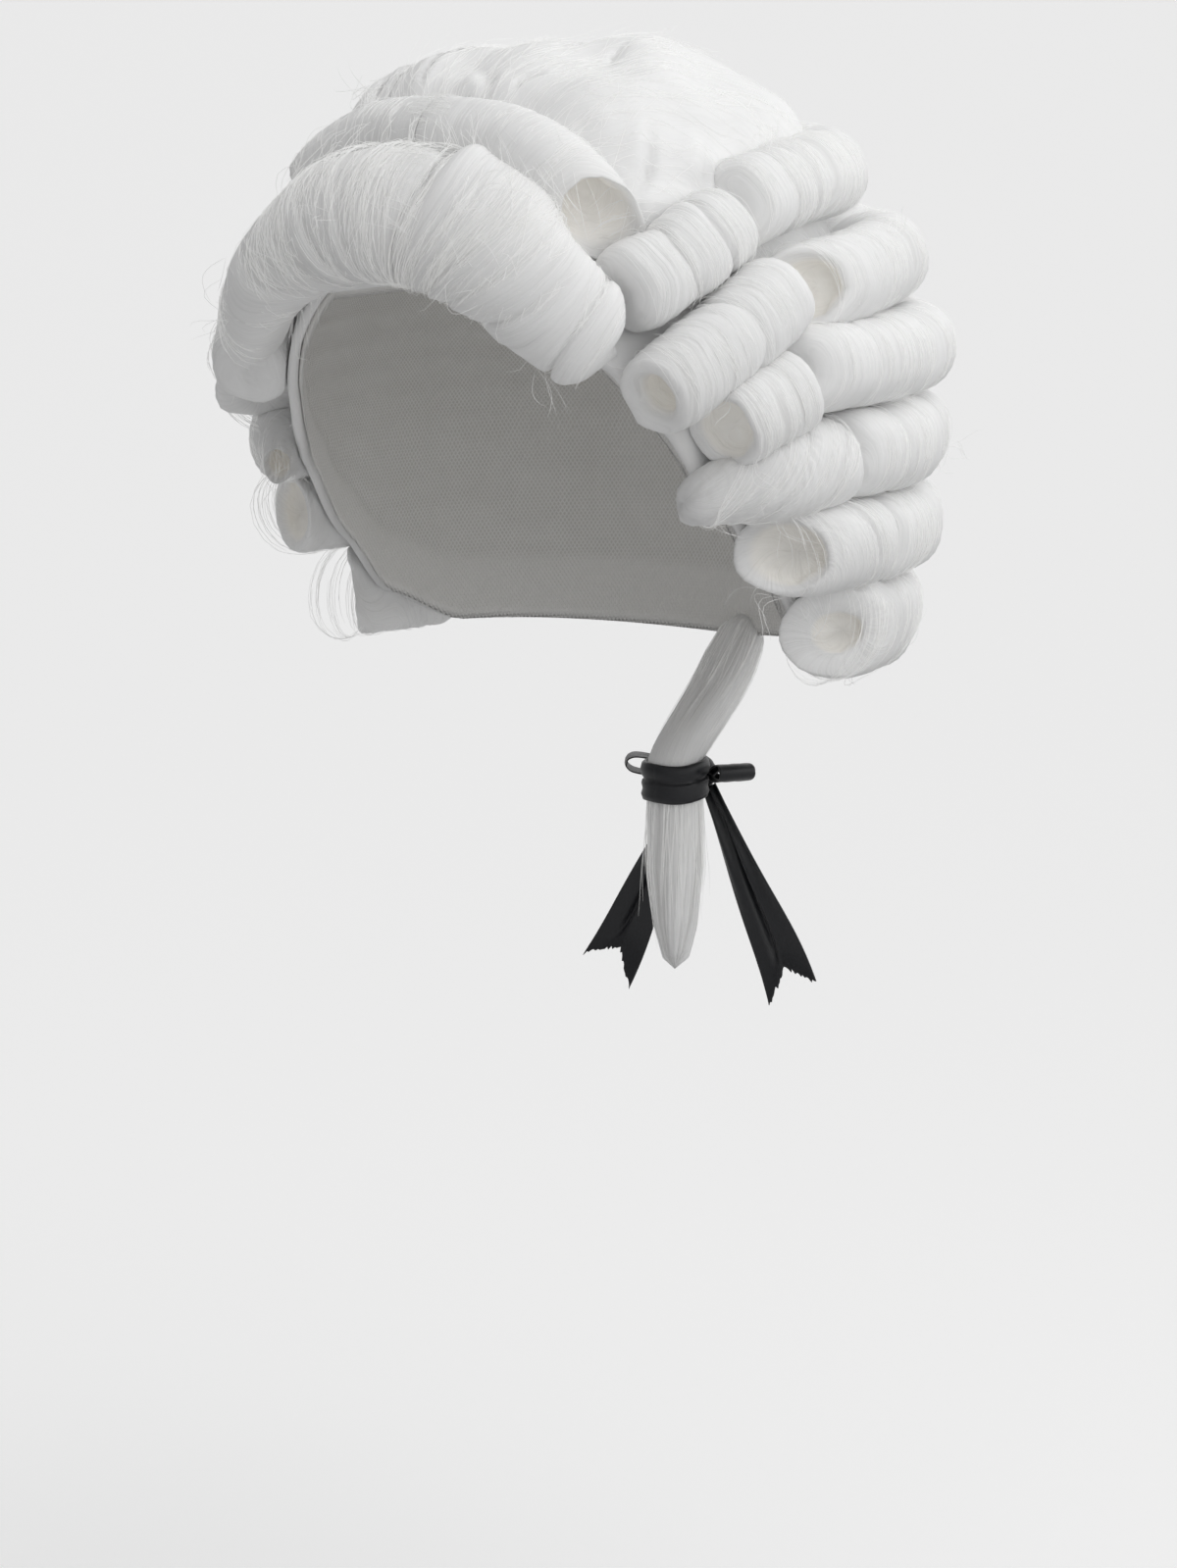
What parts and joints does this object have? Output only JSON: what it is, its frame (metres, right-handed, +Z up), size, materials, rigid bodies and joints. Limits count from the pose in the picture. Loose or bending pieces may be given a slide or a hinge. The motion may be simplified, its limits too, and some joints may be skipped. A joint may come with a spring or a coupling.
{
  "type": "powdered wig",
  "caption": "Short white powdered wig: a high roll over the forehead, rows of barrel curls round the sides and back, and a short queue tied with a black ribbon bow.",
  "frame": {"origin": "top of the head, where the crown of the cap rests on it", "axes": "+Z up, the wearer faces -Y, +X is the wearer's left"},
  "size_m": [0.2098, 0.2335, 0.2979],
  "materials": {
    "hair": "white powdered hair, soft sheen along the strands",
    "net": "open net with sewn hair wefts, matt",
    "satin": "black satin ribbon"
  },
  "bodies": {
    "root": {"bow_loop_left": "satin", "bow_loop_right": "satin", "cap": "net", "crown_hair": "hair", "crown_roll_left": "hair", "crown_roll_right": "hair", "curl_a1_left": "hair", "curl_a1_right": "hair", "curl_a2_left": "hair", "curl_a2_right": "hair", "curl_a3_left": "hair", "curl_a3_right": "hair", "curl_a4_left": "hair", "curl_a4_right": "hair", "curl_b1_left": "hair", "curl_b1_right": "hair", "curl_b2_left": "hair", "curl_b2_right": "hair", "curl_b3_left": "hair", "curl_b3_right": "hair", "curl_b4_left": "hair", "curl_b4_right": "hair", "curl_c1_left": "hair", "curl_c1_right": "hair", "curl_c2_left": "hair", "curl_c2_right": "hair", "curl_c3_left": "hair", "curl_c3_right": "hair", "curl_c4_left": "hair", "curl_c4_right": "hair", "curl_d1_left": "hair", "curl_d1_right": "hair", "curl_d2_left": "hair", "curl_d2_right": "hair", "curl_d3_left": "hair", "curl_d3_right": "hair", "curl_d4_left": "hair", "curl_d4_right": "hair", "curl_e1_left": "hair", "curl_e1_right": "hair", "curl_e2_left": "hair", "curl_e2_right": "hair", "curl_e3_left": "hair", "curl_e3_right": "hair", "curl_e4_left": "hair", "curl_e4_right": "hair", "curl_f1_left": "hair", "curl_f1_right": "hair", "curl_f2_left": "hair", "curl_f2_right": "hair", "curl_f3_left": "hair", "curl_f3_right": "hair", "front_roll_left": "hair", "front_roll_right": "hair", "queue": "hair", "ribbon_knot": "satin", "ribbon_tail_left": "satin", "ribbon_tail_right": "satin"}
  },
  "joints": []
}
